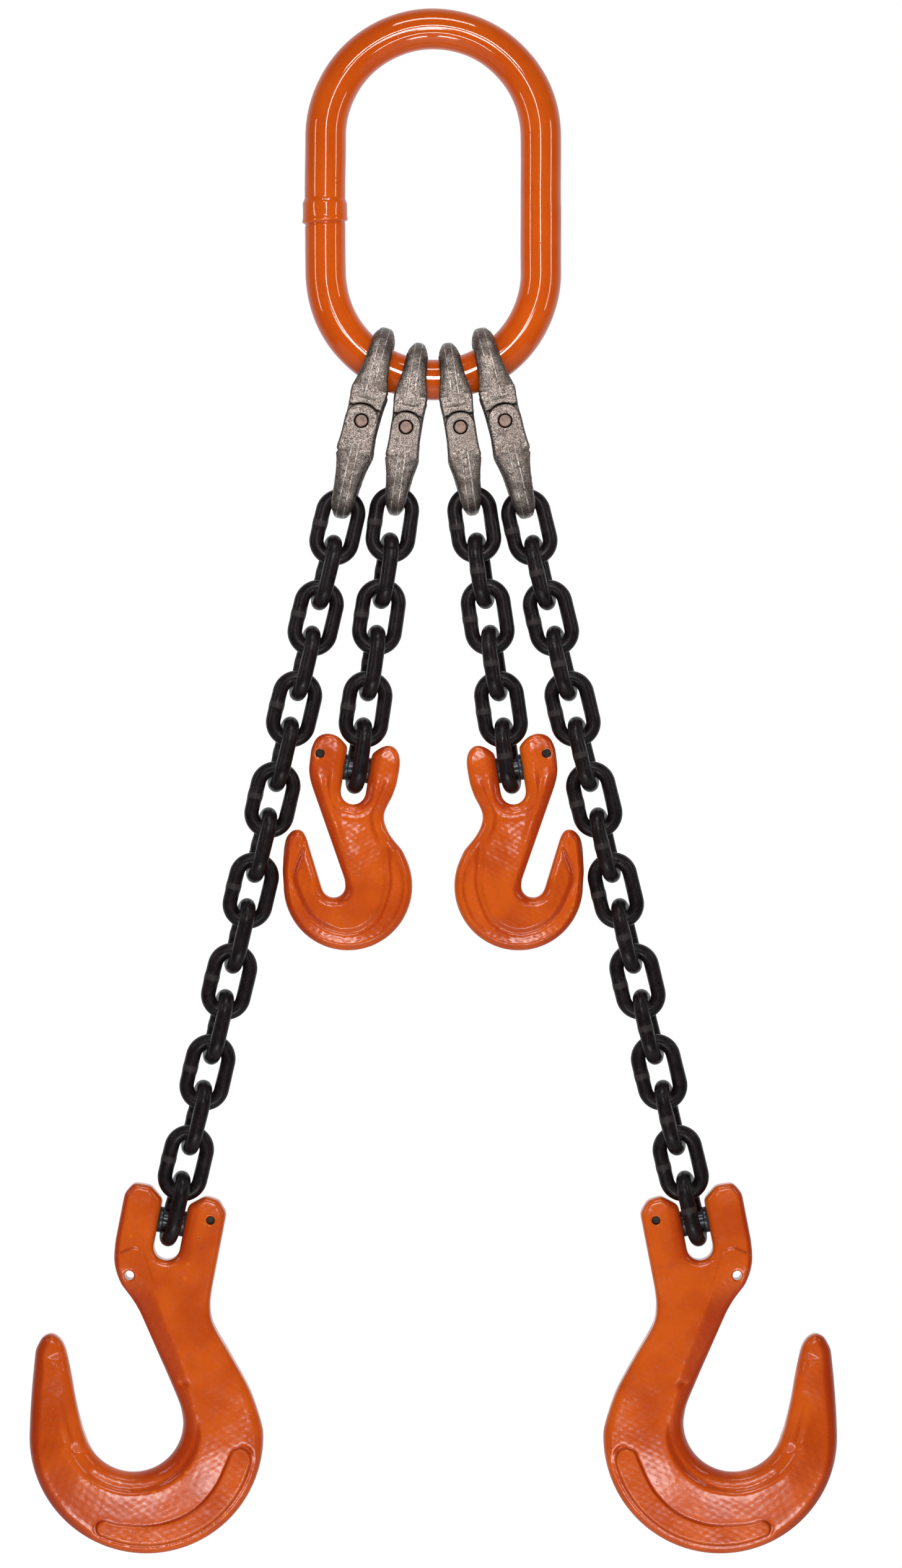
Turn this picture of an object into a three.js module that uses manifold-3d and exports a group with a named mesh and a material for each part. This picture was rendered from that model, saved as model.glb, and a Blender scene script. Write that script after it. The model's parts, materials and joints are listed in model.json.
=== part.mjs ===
// Four leg chain sling, in millimetres, +Z up.
// An oblong master link carries four legs that hang side by side in the XZ plane. Each leg starts
// with a coupling link of two forged halves joined by a pin. The two outer legs are long and end
// in foundry hooks, and the two inner legs are short and end in grab hooks.
// The origin is the seat on the inside of the master link's top, where a crane hook holds it.
//
// Every group below is a pivot: its origin is where the piece turns and its local Z runs up the
// leg. A lower coupling half and a link turn about their local Y, which for a link is square to
// its own plane. An upper coupling half and a hook turn about their local X.
import * as THREE from "three";
import { mergeVertices } from "three/addons/utils/BufferGeometryUtils.js";
import Module from "manifold-3d";

const wasm = await Module();
wasm.setup();

const { degToRad } = THREE.MathUtils;

// ---- Driving dimensions ----

const RUNNING_GAP = 0.3; // left beside the coupling pin's sleeve
const EMBED = 0.5; // how far one piece runs into another where the two are joined
const LINK_GAP = 0.7; // left between the bends of neighbouring links
const CROWN_GAP = 1.4; // left between the first link's bend and the crown that it hangs on
const WELD_FOOT_SINK = 1; // the weld collar's feathered ends lie this far inside the bar
const SHOULDER_WIDTH = 0.8; // of the lug's width, at the shoulder's foot
const LUG_EDGE = 1.5; // bevel round the outer lug
const EDGE_DEPTH = 1.3; // a hook's bevel runs this much further front to back than it does inwards
const CUT_MARGIN = 1; // a cutting rod stands out this far on both sides
const SEAT_GAP = 0.8; // left between the last link's bend and the load pin in it
const BAR_GAP = 1.6; // left over the master link's bar, which the coupling halves cross aslant

const MASTER_BAR_R = 13.4;
const MASTER_INSIDE_WIDTH = 113;
const MASTER_INSIDE_LENGTH = 201.4;
const WELD_Z = -105; // height of the master link's weld collar
const WELD_R = 14.9;
const WELD_HALF_LENGTH = 7;
const WELD_SLOPE = 2; // length of the collar's sloping ends

const WIRE_R = 5; // chain wire
const PITCH = 30.35;
const LINK_INSIDE_LENGTH = PITCH + LINK_GAP;
const LINK_INSIDE_WIDTH = 13;
const EDGE_LINK_YAW = 10.8; // degrees by which edge-on links stay turned from square

const BOW_THICKNESS = 8.5; // of a coupling half's bow, measured from inside to outside
const BOW_HALF_WIDTH = 5.2; // at the crown
const BOW_INSIDE = 16; // half the gap between a bow's legs
const BOW_FOOT = 14; // where the bow's legs run into the lugs, above the pin
const LUG_THICKNESS = 7.5;
const OUTER_FACE = BOW_INSIDE + BOW_THICKNESS; // of the outer lugs, from the middle
const LUG_SPLIT = OUTER_FACE - LUG_THICKNESS;
const INNER_FACE = LUG_SPLIT - 0.5; // of the inner lugs, which run beside the outer ones
const INNER_END = LUG_THICKNESS - INNER_FACE;
const LUG_TOP_DROP = 13; // from the inside of the crown to where the outer lug ends
const INNER_LUG_RISE = 7; // of the inner lug above its round end
const SHOULDER_RISE = 11; // of the shoulder above the lug's round end
const SHOULDER_GAP = 1.2; // between the shoulder and the other half's outer lug
const SHOULDER_INSET = 5; // how far the shoulder stops short of the inner lug's inside face
const NECK_MARGIN = 0.9; // by which lug and shoulder are wider than the bow at their tops
const COUPLING_PIN_R = 4;
const COUPLING_HOLE_R = 4.5;
const PIN_SINK = 0.5; // how far the pin's ends lie below the outer lugs' faces
const SLEEVE_R = 8;

const LOAD_PIN_R = 6;
const COLLAR_R = 9;
const COLLAR_FACE = 7.4; // how far the collars' faces stand from the middle of the slot
const FOUNDRY_BOWL_R = 32.4;

// The two kinds of leg. Angles are in degrees from straight down.
const OUTER = {
  links: 16,
  seatAngle: 37.7, // place of the coupling on the master link's bottom bend
  upperLean: 15,
  lowerLean: 13.2,
  chainLean: 13.4,
  hookLean: 11,
  reach: 64, // pin axis to the outside of the crown
  lugR: 11,
};
const INNER = {
  links: 6,
  seatAngle: 10.8,
  upperLean: 8.85,
  lowerLean: 8.3,
  chainLean: 8.24,
  hookLean: 9,
  reach: 57,
  lugR: 9.9,
};

// Names of the legs from left to right, with the side they hang on.
const LEGS = [
  { name: "leg1", side: -1, kind: OUTER },
  { name: "leg2", side: -1, kind: INNER },
  { name: "leg3", side: 1, kind: INNER },
  { name: "leg4", side: 1, kind: OUTER },
];

// ---- Materials ----

const metal = (color, roughness, metalness) =>
  new THREE.MeshStandardMaterial({ color, roughness, metalness });
const ORANGE_PAINT = metal(0xd2521f, 0.35, 0.1);
const FORGED_STEEL = metal(0x857a70, 0.55, 0.8);
const BLACK_CHAIN = metal(0x241d1f, 0.45, 0.5);

// ---- Geometry helpers ----

function toSolid(geometry) {
  const bare = geometry.index ? geometry.toNonIndexed() : geometry.clone();
  bare.deleteAttribute("normal");
  bare.deleteAttribute("uv");
  const merged = mergeVertices(bare, 1e-4);
  return new wasm.Manifold(
    new wasm.Mesh({
      numProp: 3,
      vertProperties: merged.attributes.position.array,
      triVerts: new Uint32Array(merged.index.array),
    }),
  );
}

function toGeometry(solid) {
  const { vertProperties, triVerts } = solid.getMesh();
  const geometry = new THREE.BufferGeometry();
  geometry.setAttribute("position", new THREE.BufferAttribute(vertProperties, 3));
  geometry.setIndex(new THREE.BufferAttribute(triVerts, 1));
  const flat = geometry.toNonIndexed();
  flat.computeVertexNormals();
  return flat;
}

// A cylinder along Y from y0 to y1, with its middle at (x, z).
function rodAlongY(r, y0, y1, sides, x = 0, z = 0) {
  return new THREE.CylinderGeometry(r, r, y1 - y0, sides).translate(x, (y0 + y1) / 2, z);
}

// A cylinder along X from x0 to x1, about the X axis.
function rodAlongX(r, x0, x1, sides) {
  return new THREE.CylinderGeometry(r, r, x1 - x0, sides)
    .rotateZ(Math.PI / 2)
    .translate((x0 + x1) / 2, 0, 0);
}

// A flat outline, drawn in x and z, as a plate from y0 to y1 with its edges rounded over.
function plate(points, y0, y1, edge, edgeDepth = edge, edgeSteps = 1) {
  const options = {
    depth: y1 - y0 - 2 * edgeDepth,
    bevelEnabled: edge > 0,
    bevelSize: edge,
    bevelThickness: edgeDepth,
    bevelOffset: -edge,
    bevelSegments: edgeSteps,
  };
  return new THREE.ExtrudeGeometry(new THREE.Shape(points), options)
    .rotateX(Math.PI / 2)
    .translate(0, y1 - edgeDepth, 0);
}

// Points on an arc, by angles in degrees from +x towards +z.
function arc(x, z, r, from, to, steps) {
  return Array.from({ length: steps + 1 }, (_, i) => {
    const angle = degToRad(from + ((to - from) * i) / steps);
    return new THREE.Vector2(x + r * Math.cos(angle), z + r * Math.sin(angle));
  });
}

const corners = (...list) => list.map(([x, z]) => new THREE.Vector2(x, z));

// Points on a smooth curve through the given ones.
function smooth(steps, ...list) {
  return new THREE.SplineCurve(corners(...list)).getPoints(steps);
}

// The centre line of an oblong ring in the XZ plane, starting at the middle of its top bend.
class Oblong extends THREE.Curve {
  constructor(bendR, straight) {
    super();
    this.bendR = bendR;
    this.straight = straight;
  }
  getPoint(t, target = new THREE.Vector3()) {
    const quarter = (Math.PI / 2) * this.bendR;
    const half = 2 * quarter + this.straight;
    const way = (t % 1) * 2 * half;
    const s = way % half;
    const turned = way >= half ? -1 : 1;
    let x = this.bendR;
    let z = this.straight / 2 + quarter - s;
    if (s < quarter) {
      x = this.bendR * Math.sin(s / this.bendR);
      z = this.straight / 2 + this.bendR * Math.cos(s / this.bendR);
    } else if (s > quarter + this.straight) {
      const angle = (s - quarter - this.straight) / this.bendR;
      x = this.bendR * Math.cos(angle);
      z = -this.straight / 2 - this.bendR * Math.sin(angle);
    }
    return target.set(turned * x, 0, turned * z);
  }
}

// A closed oblong ring of round wire, centred on the origin.
function oblongRing(insideWidth, insideLength, wireR, steps, sides) {
  const bendR = insideWidth / 2 + wireR;
  const path = new Oblong(bendR, insideLength - insideWidth);
  return new THREE.TubeGeometry(path, steps, wireR, sides, true);
}

// ---- Sub-parts ----

function masterLinkGeometry() {
  const ring = oblongRing(MASTER_INSIDE_WIDTH, MASTER_INSIDE_LENGTH, MASTER_BAR_R, 40, 12)
    .translate(0, 0, -MASTER_INSIDE_LENGTH / 2);
  const collarEnd = MASTER_BAR_R - WELD_FOOT_SINK;
  const profile = corners(
    [0, -WELD_HALF_LENGTH - WELD_SLOPE],
    [collarEnd, -WELD_HALF_LENGTH - WELD_SLOPE],
    [WELD_R, -WELD_HALF_LENGTH / 2],
    [WELD_R, WELD_HALF_LENGTH / 2],
    [collarEnd, WELD_HALF_LENGTH + WELD_SLOPE],
    [0, WELD_HALF_LENGTH + WELD_SLOPE],
  );
  const collar = new THREE.LatheGeometry(profile, 14)
    .rotateX(Math.PI / 2)
    .translate(-MASTER_INSIDE_WIDTH / 2 - MASTER_BAR_R, 0, WELD_Z);
  return toGeometry(toSolid(ring).add(toSolid(collar)));
}

const chainLinkGeometry = oblongRing(LINK_INSIDE_WIDTH, LINK_INSIDE_LENGTH, WIRE_R, 14, 8);

// The bow of a coupling half, from one leg's end over the crown to the other's.
function bowGeometry(reach) {
  const bendR = BOW_INSIDE + BOW_THICKNESS / 2;
  const bendZ = reach - BOW_THICKNESS / 2 - bendR;
  const at = (y, z) => new THREE.Vector3(0, y, z);
  const bend = arc(0, bendZ, bendR, 180, 0, 6).map((p) => at(p.x, p.y));
  const path = new THREE.CurvePath();
  path.add(new THREE.LineCurve3(at(-bendR, BOW_FOOT), at(-bendR, bendZ)));
  path.add(new THREE.CatmullRomCurve3(bend));
  path.add(new THREE.LineCurve3(at(bendR, bendZ), at(bendR, BOW_FOOT)));
  const section = new THREE.Shape();
  section.absellipse(0, 0, BOW_HALF_WIDTH, BOW_THICKNESS / 2, 0, 2 * Math.PI);
  return new THREE.ExtrudeGeometry(section, {
    steps: 12,
    curveSegments: 4,
    extrudePath: path,
  });
}

// A lug's outline: round about the pin and drawn in towards the crown.
function lugOutline(lugR, topZ) {
  const neck = BOW_HALF_WIDTH + NECK_MARGIN;
  const round = arc(0, 0, lugR, 155, 385, 8);
  return [...round, ...corners([neck, topZ], [-neck, topZ])];
}

// The block that joins the bow's leg to the inner lug, clear of the other half's outer lug.
function shoulderOutline(lugR, topZ) {
  const neck = BOW_HALF_WIDTH + NECK_MARGIN;
  const foot = lugR + SHOULDER_GAP;
  const wide = lugR * SHOULDER_WIDTH;
  return corners([-wide, foot], [wide, foot], [neck, topZ], [-neck, topZ]);
}

// One half of a coupling link, about its pin, with its crown towards +Z. Its lug on +Y is the
// outer one of the stack and its lug on -Y is the inner one.
function couplingHalfSolid({ reach, lugR }) {
  const outerLug = lugOutline(lugR, reach - BOW_THICKNESS - LUG_TOP_DROP);
  const innerLug = lugOutline(lugR, lugR + INNER_LUG_RISE);
  const shoulder = shoulderOutline(lugR, lugR + SHOULDER_RISE);
  const parts = [
    bowGeometry(reach),
    plate(outerLug, LUG_SPLIT, OUTER_FACE, LUG_EDGE),
    plate(innerLug, -INNER_FACE, INNER_END, 0),
    plate(shoulder, -OUTER_FACE, INNER_END - SHOULDER_INSET, 0),
  ];
  return parts.map(toSolid).reduce((whole, solid) => whole.add(solid));
}

// The upper half holds the coupling pin and the sleeve between the inner lugs.
function upperHalfGeometry(kind) {
  const sleeveEnd = INNER_FACE - LUG_THICKNESS;
  const pinEnd = OUTER_FACE - PIN_SINK;
  const pin = toSolid(rodAlongY(COUPLING_PIN_R, -pinEnd, pinEnd, 16));
  const sleeve = toSolid(rodAlongY(SLEEVE_R, -sleeveEnd - EMBED, sleeveEnd - RUNNING_GAP, 16));
  return toGeometry(couplingHalfSolid(kind).add(pin).add(sleeve));
}

// The lower half turns on that pin, so its lugs have running holes.
function lowerHalfGeometry(kind) {
  const hole = toSolid(rodAlongY(COUPLING_HOLE_R, -OUTER_FACE - CUT_MARGIN, OUTER_FACE + CUT_MARGIN, 16));
  return toGeometry(couplingHalfSolid(kind).subtract(hole));
}

// The clevis ears, the slot between them and the outline's run down to the neck are drawn about
// the load pin's axis, with the tip on -x.
function foundryHookOutline() {
  return [
    ...corners([-33.4, -18], [-33.4, 13], [-29, 20.4], [-18, 20.9], [-8.6, 13]),
    ...arc(0, -16.5, 8.6, 180, 360, 8),
    ...corners([8.6, 13], [18.5, 20.9], [27.5, 19.8], [33.8, 12.5], [33.8, -38]),
    ...smooth(7, [34.3, -46], [38.5, -59], [53.7, -77], [70.3, -97], [80.5, -114]),
    ...arc(10.4, -140.1, 76, 14, -171, 17),
    ...smooth(3, [-66.6, -140], [-69.2, -119], [-71, -98]),
    ...corners([-68.3, -89.2], [-62.5, -85.8], [-56.2, -88.5]),
    ...smooth(4, [-52, -94], [-46, -107.5], [-38.5, -127], [-31.5, -142.5]),
    ...arc(0.3, -132.5, FOUNDRY_BOWL_R, -150.5, 14.5, 15),
    ...corners([28.9, -117], [22.6, -107], [-4.7, -67], [-12.4, -57], [-17.6, -51.7]),
    ...corners([-24.5, -45.5], [-29.3, -37.5], [-32.2, -29]),
  ];
}

function grabHookOutline() {
  return [
    ...corners([-30.9, -4], [-31.3, 8], [-28.8, 16], [-22.5, 19.8], [-15, 18.6], [-8.3, 14.4]),
    ...arc(0, -15.2, 8.2, 180, 360, 8),
    ...corners([8.2, 11.6], [13.5, 16.2], [19.4, 18.4], [24.4, 15.4], [27.1, 8], [27.1, -6]),
    ...smooth(5, [25.6, -14], [22, -27], [27, -38], [37.5, -47.7]),
    ...arc(6.2, -76.1, 41.8, 34, -172, 16),
    ...smooth(4, [-37.3, -73], [-38.7, -58], [-38.2, -50.5]),
    ...corners([-34.8, -45.6], [-29.5, -44.8], [-25.6, -49]),
    ...arc(-3.1, -77.2, 7.9, 202, 356, 7),
    ...corners([3.6, -72.4]),
    ...smooth(5, [-25.8, -17.9], [-29, -11], [-30.7, -5]).slice(0, 4),
  ];
}

// A hook with its load pin, the collars that keep the link in the middle of the slot, and the
// retaining pin across the load pin's back.
function hookGeometry({ outline, thickness, edge, slot, ears, retainer, latchHole }) {
  const half = thickness / 2;
  const additions = [
    rodAlongX(LOAD_PIN_R, ears[0], ears[1], 12),
    rodAlongX(COLLAR_R, -slot - EMBED, -COLLAR_FACE, 12),
    rodAlongX(COLLAR_R, COLLAR_FACE, slot + EMBED, 12),
    rodAlongY(retainer.r, -half - EMBED, half + EMBED, 8, retainer.x, retainer.z),
  ];
  let hook = toSolid(plate(outline, -half, half, edge, edge * EDGE_DEPTH, 2));
  if (latchHole) {
    const { r, x, z } = latchHole;
    const end = half + CUT_MARGIN;
    hook = hook.subtract(toSolid(rodAlongY(r, -end, end, 8, x, z)));
  }
  for (const geometry of additions) hook = hook.add(toSolid(geometry));
  return toGeometry(hook);
}

const FOUNDRY_HOOK = {
  outline: foundryHookOutline(),
  thickness: 26,
  edge: 5,
  slot: 8.6,
  ears: [-34.2, 34.6],
  retainer: { r: 2.7, x: 24.7, z: 6.3 },
  latchHole: { r: 3.1, x: -20.2, z: -38.7 },
};
const GRAB_HOOK = {
  outline: grabHookOutline(),
  thickness: 22,
  edge: 4,
  slot: 8.2,
  ears: [-31.9, 27.9],
  retainer: { r: 2.9, x: -25.1, z: 6.2 },
};
OUTER.hook = FOUNDRY_HOOK;
INNER.hook = GRAB_HOOK;

// ---- Assembly ----

// A pivot group: placed at (0, 0, z) of its parent, turned by twist about the leg and then leant.
function pivot(parent, z, twist = 0, lean = 0) {
  const group = new THREE.Group();
  group.position.z = z;
  group.rotation.set(0, degToRad(lean), degToRad(twist), "ZYX");
  parent.add(group);
  return group;
}

function addMesh(parent, name, geometry, material, z = 0) {
  const mesh = new THREE.Mesh(geometry, material);
  mesh.name = name;
  mesh.position.z = z;
  parent.add(mesh);
  return mesh;
}

// Hangs one leg on the master link: the coupling, the chain and the hook.
function addLeg(root, { name, side, kind }, geometries) {
  const crownToPin = kind.reach - BOW_THICKNESS / 2;
  const linkHalf = LINK_INSIDE_LENGTH / 2 + WIRE_R; // link's middle to its wire's middle, at an end
  const lean = (degrees) => -side * degrees;

  // The crown's middle rides on the inside of the bottom bend, and the half swings about the
  // place where its own centre line crosses the bar's.
  const bendR = MASTER_INSIDE_WIDTH / 2 + MASTER_BAR_R;
  const bendZ = MASTER_INSIDE_WIDTH / 2 - MASTER_INSIDE_LENGTH;
  const crownR = bendR - MASTER_BAR_R - BAR_GAP - BOW_THICKNESS / 2;
  const along = crownR * Math.cos(degToRad(kind.seatAngle - kind.upperLean));
  const crownToBar = Math.sqrt(along ** 2 - crownR ** 2 + bendR ** 2) - along;
  const seat = degToRad(kind.seatAngle);
  const upperLean = degToRad(kind.upperLean);

  const upper = pivot(root, 0, 0, lean(kind.upperLean));
  upper.position.set(
    side * (crownR * Math.sin(seat) + crownToBar * Math.sin(upperLean)),
    0,
    bendZ - crownR * Math.cos(seat) - crownToBar * Math.cos(upperLean),
  );
  const pinZ = crownToBar - crownToPin;
  addMesh(upper, `${name}_coupling_upper`, geometries.upper, FORGED_STEEL, pinZ);

  const lower = pivot(upper, pinZ, 0, lean(kind.lowerLean - kind.upperLean));
  const lowerHalf = addMesh(lower, `${name}_coupling_lower`, geometries.lower, FORGED_STEEL);
  lowerHalf.rotation.x = Math.PI;

  // The first link hangs on the lower half's crown, and each other link on the one before it.
  let hanger = lower;
  let hangZ = -crownToPin;
  let middleZ = BOW_THICKNESS / 2 + CROWN_GAP + WIRE_R - linkHalf;
  const yaw = 90 - side * EDGE_LINK_YAW;
  for (let i = 1; i <= kind.links; i++) {
    const twist = i % 2 ? (i > 1 ? -yaw : 0) : yaw;
    const link = pivot(hanger, hangZ, twist, i > 1 ? 0 : lean(kind.chainLean - kind.lowerLean));
    const label = String(i).padStart(2, "0");
    addMesh(link, `${name}_link_${label}`, geometries.link, BLACK_CHAIN, middleZ);
    hanger = link;
    hangZ = middleZ - linkHalf;
    middleZ = linkHalf - PITCH;
  }

  // The hook's load pin rests on the last link's lower bend.
  const pinDrop = linkHalf - WIRE_R - SEAT_GAP - LOAD_PIN_R;
  const hook = pivot(hanger, linkHalf - PITCH - pinDrop, -yaw, lean(kind.hookLean - kind.chainLean));
  const body = addMesh(hook, `${name}_hook`, geometries.hook, ORANGE_PAINT);
  if (side > 0) body.rotation.z = Math.PI;
}

const sling = new THREE.Group();
addMesh(sling, "master_link", masterLinkGeometry(), ORANGE_PAINT);
for (const kind of [OUTER, INNER]) {
  const geometries = {
    upper: upperHalfGeometry(kind),
    lower: lowerHalfGeometry(kind),
    link: chainLinkGeometry,
    hook: hookGeometry(kind.hook),
  };
  for (const leg of LEGS.filter((one) => one.kind === kind)) addLeg(sling, leg, geometries);
}

export default sling;
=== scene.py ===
"""Looks of the four leg chain sling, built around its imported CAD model.

Shapes are worked out in millimetres, each in its own frame, and turned to metres as meshes.
Forgings are smooth solids given by a field: a function of x, y and z that is negative inside.
Their frames: a hook's load pin lies along x and a coupling half's pin along y, with the origin
in the middle of that pin. z runs up the leg in a hook, and towards the crown in a coupling half.
"""

import json
import math

import bmesh
import bpy
import numpy as np
from mathutils import Matrix, Vector


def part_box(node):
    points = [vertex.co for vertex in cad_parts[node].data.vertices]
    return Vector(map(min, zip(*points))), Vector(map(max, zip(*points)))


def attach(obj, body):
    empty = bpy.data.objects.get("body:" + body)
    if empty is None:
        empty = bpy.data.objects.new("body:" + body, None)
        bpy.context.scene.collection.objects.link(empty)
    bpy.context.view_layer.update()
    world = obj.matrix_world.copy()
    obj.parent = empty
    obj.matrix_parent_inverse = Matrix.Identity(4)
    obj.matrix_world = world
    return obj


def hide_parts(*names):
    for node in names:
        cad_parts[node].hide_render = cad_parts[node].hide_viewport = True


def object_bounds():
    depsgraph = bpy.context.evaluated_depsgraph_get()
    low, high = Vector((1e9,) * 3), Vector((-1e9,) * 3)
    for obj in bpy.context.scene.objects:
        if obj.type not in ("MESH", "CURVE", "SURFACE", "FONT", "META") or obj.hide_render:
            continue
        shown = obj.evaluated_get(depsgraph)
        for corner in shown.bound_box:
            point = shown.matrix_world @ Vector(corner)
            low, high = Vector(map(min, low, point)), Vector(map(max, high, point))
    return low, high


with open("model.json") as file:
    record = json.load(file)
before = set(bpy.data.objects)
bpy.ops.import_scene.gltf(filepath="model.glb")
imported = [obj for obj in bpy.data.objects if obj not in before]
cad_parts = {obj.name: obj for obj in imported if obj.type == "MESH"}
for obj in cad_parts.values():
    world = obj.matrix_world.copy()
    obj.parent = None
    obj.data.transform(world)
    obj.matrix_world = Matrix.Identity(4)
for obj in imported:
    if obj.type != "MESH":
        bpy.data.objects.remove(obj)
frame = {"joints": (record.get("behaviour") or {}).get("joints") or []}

cad_low, cad_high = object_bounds()

MM = 0.001
STEP_SCALE = 1.0  # coarser grids while trying things


# ---------------------------------------------------------------- the frame's joints and boxes

JOINT_OF = {joint["child"]: joint for joint in frame["joints"]}


def pivot(body):
    """Where a body turns, in mm."""
    return Vector(JOINT_OF[body]["pos_m"]) / MM


def axis(body):
    return Vector(JOINT_OF[body]["axis"]).normalized()


def middle(node):
    """The middle of a CAD node's box, in mm."""
    low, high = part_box(node)
    return (low + high) / 2 / MM


def placed(origin, x_axis, y_axis, z_axis):
    """The matrix that puts a piece's own frame at origin, from mm to metres."""
    turn = Matrix((x_axis, y_axis, z_axis)).transposed().to_4x4()
    return Matrix.Translation(origin * MM) @ turn


# ---------------------------------------------------------------- curves in a flat plane

def arc(cx, cz, r, start, end, step=1.5):
    """Points on an arc, by angles in degrees from +x towards +z, about step mm apart."""
    count = max(3, int(abs(math.radians(end - start)) * r / step))
    angles = np.radians(np.linspace(start, end, count + 1))
    return np.column_stack([cx + r * np.cos(angles), cz + r * np.sin(angles)])


def smooth(*points, per_span=8):
    """Points on a Catmull-Rom curve through the given ones."""
    p = np.array([points[0], *points, points[-1]], float)
    t = np.linspace(0, 1, per_span, endpoint=False)[:, None]
    spans = [
        0.5 * (2 * b + (c - a) * t + (2 * a - 5 * b + 4 * c - d) * t**2
               + (3 * b - a - 3 * c + d) * t**3)
        for a, b, c, d in zip(p, p[1:], p[2:], p[3:])
    ]
    return np.vstack([*spans, p[-1:]])


def resampled(points, step, closed):
    """The same line with points step mm apart."""
    p = np.array(points, float)
    if closed:
        p = np.vstack([p, p[:1]])
    s = np.concatenate([[0], np.cumsum(np.hypot(*np.diff(p, axis=0).T))])
    keep = np.concatenate([[True], np.diff(s) > 1e-6])
    p, s = p[keep], s[keep]
    count = max(8, round(s[-1] / step))
    at = np.linspace(0, s[-1], count, endpoint=not closed)
    return np.column_stack([np.interp(at, s, p[:, 0]), np.interp(at, s, p[:, 1])])


OUTLINE_STEP = 1.6  # between the points of a finished outline, in mm


def closed_outline(*strokes, soften=2.0, step=0.8):
    """One closed outline from its strokes, its corners softened over about soften mm."""
    p = resampled(np.vstack([np.array(s, float) for s in strokes]), step, True)
    reach = int(3 * soften / step)
    offsets = np.arange(-reach, reach + 1)
    weights = np.exp(-0.5 * (offsets * step / soften) ** 2)
    weights /= weights.sum()
    softened = sum(w * np.roll(p, -o, axis=0) for w, o in zip(weights, offsets))
    return resampled(softened, OUTLINE_STEP, True)


# ---------------------------------------------------------------- fields

def segment_distance_squared(x, z, a, b):
    ex, ez = b[0] - a[0], b[1] - a[1]
    t = np.clip(((x - a[0]) * ex + (z - a[1]) * ez) / (ex * ex + ez * ez), 0, 1)
    return (x - a[0] - ex * t) ** 2 + (z - a[1] - ez * t) ** 2


def distance_to_line(points, x, z):
    """How far (x, z) is from an open line."""
    best = np.float64(1e12)
    for a, b in zip(points[:-1], points[1:]):
        best = np.minimum(best, segment_distance_squared(x, z, a, b))
    return np.sqrt(best)


def distance_to_outline(points, x, z):
    """How far (x, z) is from a closed outline, negative inside it."""
    best = np.float64(1e12)
    inside = False
    for a, b in zip(points, np.roll(points, -1, axis=0)):
        best = np.minimum(best, segment_distance_squared(x, z, a, b))
        crosses = (a[1] <= z) != (b[1] <= z)
        if a[1] != b[1]:
            side = (b[0] - a[0]) * (z - a[1]) / (b[1] - a[1]) + a[0]
            inside = inside ^ (crosses & (x < side))
    return np.where(inside, -1, 1) * np.sqrt(best)


def both(a, b, r):
    """The inside of both fields, with the edge between them rounded to radius r."""
    return np.minimum(np.maximum(a, b), -r) + np.hypot(np.maximum(a + r, 0), np.maximum(b + r, 0))


def either(a, b, r):
    """The inside of either field, with a fillet of radius r where they meet."""
    return np.maximum(np.minimum(a, b), r) - np.hypot(np.maximum(r - a, 0), np.maximum(r - b, 0))


def ramp(value, start, end):
    """0 before start, 1 after end, and a smooth rise between them."""
    t = np.clip((value - start) / (end - start), 0, 1)
    return t * t * (3 - 2 * t)


def lumps(x, y, z, size):
    """Slow waves between -1 and 1, for the unevenness of a forging."""
    k = 2 * math.pi / size
    a = np.sin(k * (x + 0.6 * z) + 1.3) * np.sin(k * (0.8 * z - 0.3 * x) + 0.4)
    b = np.sin(k * (0.7 * x - 0.9 * z) * 1.7 + 2.1) * np.sin(k * 1.3 * y + 0.9)
    return 0.6 * a + 0.4 * b


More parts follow.
